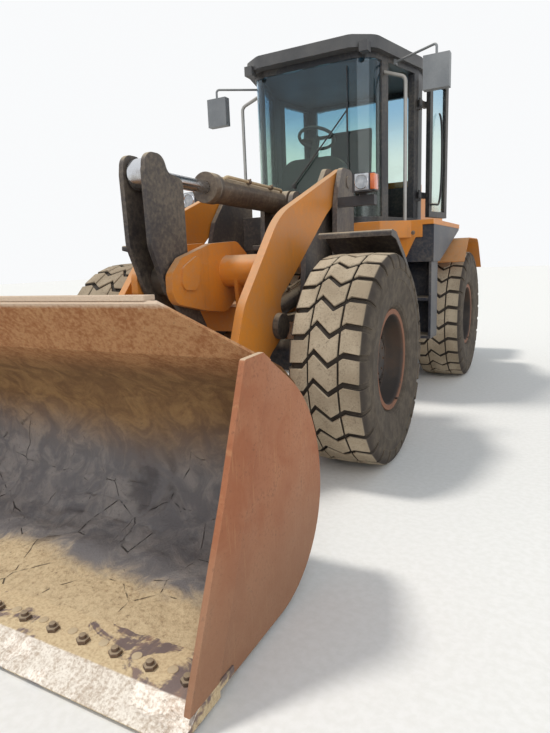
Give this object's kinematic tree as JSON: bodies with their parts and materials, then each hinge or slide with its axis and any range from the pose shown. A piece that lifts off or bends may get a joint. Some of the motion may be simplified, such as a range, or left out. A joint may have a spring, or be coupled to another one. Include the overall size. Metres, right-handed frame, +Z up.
{
  "type": "articulated wheel loader",
  "caption": "Articulated wheel loader with a Z-bar linkage, an open rock bucket, a glazed cab with its door swung open, a hinged hood and jointed steering.",
  "frame": {"origin": "on the ground under the middle of the machine's box", "axes": "-Y towards the bucket, +X to the machine's left, +Z up"},
  "size_m": [2.64, 7.74, 3.395],
  "materials": {
    "tyre": "worn dusty rubber",
    "rim_paint": "dull grey paint with rust",
    "orange_paint": "sun-worn gloss",
    "tower_paint": "matt with dust",
    "bucket_paint": "worn and rusty",
    "wear_steel": "scraped",
    "charcoal_paint": "greasy satin",
    "pin_steel": "greased",
    "rod_chrome": "polished",
    "barrel_paint": "satin",
    "frame_paint": "satin navy black",
    "iron_block": "oily",
    "weight_paint": "painted charcoal",
    "cab_paint": "satin black",
    "roof_plastic": "sun-faded charcoal",
    "glass": "tinted",
    "seat_fabric": "woven",
    "cab_plastic": "grained",
    "lamp_plastic": "clear lens",
    "red_lens": "clear lens",
    "rail_paint": "satin black",
    "mirror_plastic": "sun-faded grey"
  },
  "bodies": {
    "rear_frame": {"rear_chassis": "frame_paint", "rear_axle": "frame_paint", "engine_block": "iron_block", "gearbox": "frame_paint", "counterweight": "weight_paint", "cooler": "orange_paint", "platform": "orange_paint", "side_boxes": "frame_paint", "steps": "frame_paint", "rear_fenders": "orange_paint", "cab_shell": "cab_paint", "cab_glass": "glass", "cab_roof": "roof_plastic", "operator_seat": "seat_fabric", "cab_console": "cab_plastic", "handrails": "rail_paint", "mirrors": "mirror_plastic", "exhaust_stack": "cab_paint", "rear_lamps": "red_lens"},
    "front_frame": {"front_chassis": "orange_paint", "front_axle": "frame_paint", "tower_left": "tower_paint", "tower_right": "tower_paint", "tilt_base": "tower_paint", "front_fenders": "charcoal_paint", "head_lamps": "lamp_plastic"},
    "wheel_front_left": {"tyre_front_left": "tyre", "rim_front_left": "rim_paint"},
    "wheel_front_right": {"tyre_front_right": "tyre", "rim_front_right": "rim_paint"},
    "wheel_rear_left": {"tyre_rear_left": "tyre", "rim_rear_left": "rim_paint"},
    "wheel_rear_right": {"tyre_rear_right": "tyre", "rim_rear_right": "rim_paint"},
    "boom": {"arm_left": "orange_paint", "arm_right": "orange_paint", "boom_tube": "orange_paint", "lift_bosses": "charcoal_paint"},
    "crank_pin": {"crank_pin": "pin_steel"},
    "bell_crank": {"bell_crank": "charcoal_paint"},
    "bucket_pins": {"bucket_pins": "pin_steel"},
    "bucket": {"bucket_shell": "bucket_paint", "bucket_sides": "bucket_paint", "bucket_edge": "wear_steel", "bucket_ears": "bucket_paint"},
    "link_pin": {"link_pin": "pin_steel"},
    "bucket_link": {"bucket_link": "charcoal_paint"},
    "tilt_barrel": {"tilt_barrel": "barrel_paint"},
    "tilt_rod": {"tilt_rod": "rod_chrome"},
    "lift_barrels": {"lift_barrels": "barrel_paint"},
    "lift_rods": {"lift_rods": "rod_chrome"},
    "steer_barrel_left": {"steer_barrel_left": "barrel_paint"},
    "steer_rod_left": {"steer_rod_left": "rod_chrome"},
    "steer_barrel_right": {"steer_barrel_right": "barrel_paint"},
    "steer_rod_right": {"steer_rod_right": "rod_chrome"},
    "cab_door": {"cab_door": "cab_paint"},
    "hood": {"hood": "orange_paint"}
  },
  "joints": [
    {"name": "articulation", "type": "hinge", "parent": "rear_frame", "child": "front_frame", "pos_m": [0, 0.415, 0.87], "axis": [0, 0, 1], "range_deg": [-40, 40]},
    {"name": "wheel_front_left_spin", "type": "hinge", "parent": "front_frame", "child": "wheel_front_left", "pos_m": [1, -1.21, 0.745], "axis": [1, 0, 0], "continuous": true},
    {"name": "wheel_front_right_spin", "type": "hinge", "parent": "front_frame", "child": "wheel_front_right", "pos_m": [-1, -1.21, 0.745], "axis": [1, 0, 0], "continuous": true},
    {"name": "wheel_rear_left_spin", "type": "hinge", "parent": "rear_frame", "child": "wheel_rear_left", "pos_m": [1, 2.04, 0.745], "axis": [1, 0, 0], "continuous": true},
    {"name": "wheel_rear_right_spin", "type": "hinge", "parent": "rear_frame", "child": "wheel_rear_right", "pos_m": [-1, 2.04, 0.745], "axis": [1, 0, 0], "continuous": true},
    {"name": "boom_lift", "type": "hinge", "parent": "front_frame", "child": "boom", "pos_m": [0, -0.36, 2.09], "axis": [-1, 0, 0], "range_deg": [0, 80]},
    {"name": "bucket_level", "type": "hinge", "parent": "boom", "child": "bucket_pins", "pos_m": [0, -2.59, 0.33], "axis": [1, 0, 0], "range_deg": [-0.5, 69.06]},
    {"name": "bucket_tilt", "type": "hinge", "parent": "bucket_pins", "child": "bucket", "pos_m": [0, -2.59, 0.33], "axis": [1, 0, 0], "range_deg": [-43, 58]},
    {"name": "crank_level", "type": "hinge", "parent": "boom", "child": "crank_pin", "pos_m": [0, -2.1, 1.365], "axis": [1, 0, 0], "range_deg": [-23.98, 0.5]},
    {"name": "crank_turn", "type": "hinge", "parent": "crank_pin", "child": "bell_crank", "pos_m": [0, -2.1, 1.365], "axis": [1, 0, 0], "range_deg": [-18.37, 13.75]},
    {"name": "link_level", "type": "hinge", "parent": "bucket", "child": "link_pin", "pos_m": [0, -2.576, 0.66], "axis": [1, 0, 0], "range_deg": [-56.5, 0.5]},
    {"name": "link_turn", "type": "hinge", "parent": "link_pin", "child": "bucket_link", "pos_m": [0, -2.576, 0.66], "axis": [1, 0, 0], "range_deg": [-58.5, 43.5]},
    {"name": "tilt_barrel_swing", "type": "hinge", "parent": "front_frame", "child": "tilt_barrel", "pos_m": [0, -0.46, 1.96], "axis": [1, 0, 0], "range_deg": [-80.56, 0.5]},
    {"name": "tilt_rod_slide", "type": "slide", "parent": "tilt_barrel", "child": "tilt_rod", "axis": [0, -0.9998, 0.0195], "range_m": [-0.1978, 0.1471]},
    {"name": "lift_barrels_swing", "type": "hinge", "parent": "front_frame", "child": "lift_barrels", "pos_m": [0, -0.41, 1.3], "axis": [1, 0, 0], "range_deg": [-70, 0.5]},
    {"name": "lift_rods_slide", "type": "slide", "parent": "lift_barrels", "child": "lift_rods", "axis": [0, -0.9747, -0.2237], "range_m": [-0.002, 0.9728]},
    {"name": "steer_barrel_left_swing", "type": "hinge", "parent": "rear_frame", "child": "steer_barrel_left", "pos_m": [0.3, 0.975, 0.87], "axis": [0, 0, 1], "range_deg": [-17.63, 17.63]},
    {"name": "steer_rod_left_slide", "type": "slide", "parent": "steer_barrel_left", "child": "steer_rod_left", "axis": [0.0722, -0.9974, 0], "range_m": [-0.2314, 0.2314]},
    {"name": "steer_barrel_right_swing", "type": "hinge", "parent": "rear_frame", "child": "steer_barrel_right", "pos_m": [-0.3, 0.975, 0.87], "axis": [0, 0, 1], "range_deg": [-17.63, 17.63]},
    {"name": "steer_rod_right_slide", "type": "slide", "parent": "steer_barrel_right", "child": "steer_rod_right", "axis": [-0.0722, -0.9974, 0], "range_m": [-0.2314, 0.2314]},
    {"name": "door_swing", "type": "hinge", "parent": "rear_frame", "child": "cab_door", "pos_m": [0.872, 1, 2.5], "axis": [0, 0, -1], "range_deg": [0, 184]},
    {"name": "hood_lift", "type": "hinge", "parent": "rear_frame", "child": "hood", "pos_m": [0, 3.76, 1.45], "axis": [-1, 0, 0], "range_deg": [0, 55]}
  ],
  "couplings": [
    {"joint": "bucket_level", "follows": "boom_lift", "ratio": 0.857},
    {"joint": "crank_level", "follows": "boom_lift", "ratio": -0.2935},
    {"joint": "crank_turn", "follows": "bucket_tilt", "ratio": -0.3081},
    {"joint": "link_level", "follows": "boom_lift", "ratio": -0.7},
    {"joint": "link_turn", "follows": "bucket_tilt", "ratio": -1},
    {"joint": "tilt_barrel_swing", "follows": "boom_lift", "ratio": -1.0007},
    {"joint": "tilt_rod_slide", "follows": "bucket_tilt", "m_per_rad": -0.1934},
    {"joint": "lift_barrels_swing", "follows": "boom_lift", "ratio": -0.8688},
    {"joint": "lift_rods_slide", "follows": "boom_lift", "m_per_rad": 0.6953},
    {"joint": "steer_barrel_left_swing", "follows": "articulation", "ratio": 0.4283},
    {"joint": "steer_rod_left_slide", "follows": "articulation", "m_per_rad": -0.3286},
    {"joint": "steer_barrel_right_swing", "follows": "articulation", "ratio": 0.4283},
    {"joint": "steer_rod_right_slide", "follows": "articulation", "m_per_rad": 0.3286}
  ]
}
